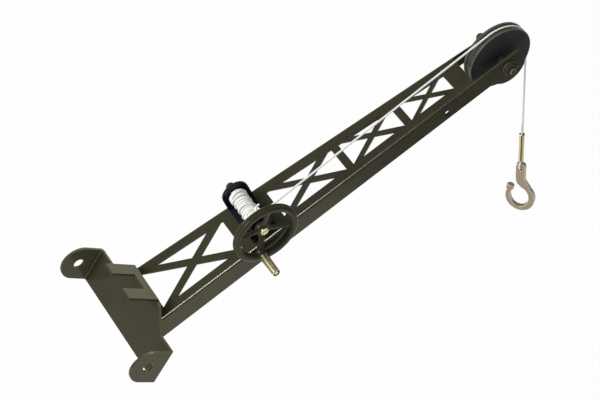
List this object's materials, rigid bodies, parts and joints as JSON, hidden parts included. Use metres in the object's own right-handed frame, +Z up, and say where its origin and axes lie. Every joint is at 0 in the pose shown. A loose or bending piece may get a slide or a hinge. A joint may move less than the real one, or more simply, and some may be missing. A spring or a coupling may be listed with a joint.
{
  "type": "crane jib with hand winch",
  "caption": "Small folded-sheet crane jib with a lattice web, a hinged base bracket, a hand winch, a tip sheave and a hook on a cord.",
  "frame": {"origin": "on the pivot axis of the base bracket's two ears, midway between them", "axes": "+X forward along the jib's plan direction towards the sheave and hook, +Y along the pivot axis to the side away from the handwheel, +Z up; the jib stands raised by 15 degrees and the cord hangs straight down"},
  "size_m": [0.2826, 0.083, 0.165],
  "materials": {
    "dark_paint": "dark olive-black enamel, satin to semi-gloss",
    "black_paint": "black enamel, semi-gloss",
    "bright_steel": "plain steel, fine turned",
    "brass": "turned brass, slightly dull",
    "ferrule_metal": "drawn tube, dull nickel",
    "hook_metal": "cut plate, dull nickel",
    "cord": "white twisted string"
  },
  "bodies": {
    "jib": {"jib_channel": "dark_paint", "base_bracket": "dark_paint", "base_weld": "dark_paint", "winch_bracket": "dark_paint", "winch_rivets": "dark_paint", "sheave_bolt": "bright_steel", "sheave_cap": "dark_paint", "sheave_nut": "dark_paint", "sheave_washers": "dark_paint", "sheave_spacers": "dark_paint", "cord_run": "cord", "cord_hanging": "cord"},
    "winch": {"winch_axle": "bright_steel", "axle_cap": "dark_paint", "cap_washer": "dark_paint", "axle_bush": "dark_paint", "handwheel": "dark_paint", "wheel_screw": "brass", "handle_pin": "bright_steel", "cord_core": "cord", "cord_winding": "cord"},
    "handle": {"handle_sleeve": "brass"},
    "sheave": {"sheave": "black_paint"},
    "load": {"ferrule": "ferrule_metal", "cord_loop": "cord"},
    "hook": {"hook": "hook_metal"}
  },
  "joints": [
    {"name": "winch_spin", "type": "hinge", "parent": "jib", "child": "winch", "pos_m": [0.08592, 0, 0.03025], "axis": [0, 1, 0], "range_deg": [-500, 1500]},
    {"name": "handle_spin", "type": "hinge", "parent": "winch", "child": "handle", "pos_m": [0.08199, 0, 0.01557], "axis": [0, 1, 0], "continuous": true},
    {"name": "sheave_spin", "type": "hinge", "parent": "jib", "child": "sheave", "pos_m": [0.24609, 0, 0.05453], "axis": [0, 1, 0], "range_deg": [-120, 350]},
    {"name": "hook_lift", "type": "slide", "parent": "jib", "child": "load", "axis": [0, 0, 1], "range_m": [-0.12, 0.04], "deforming": ["cord_hanging"]},
    {"name": "hook_swing", "type": "hinge", "parent": "load", "child": "hook", "pos_m": [0.26491, -0.00043, -0.05244], "axis": [0.7771, 0.6293, 0], "range_deg": [-40, 40]}
  ],
  "couplings": [
    {"joint": "sheave_spin", "follows": "winch_spin", "ratio": 0.22997},
    {"joint": "hook_lift", "follows": "winch_spin", "m_per_rad": -0.00445}
  ]
}
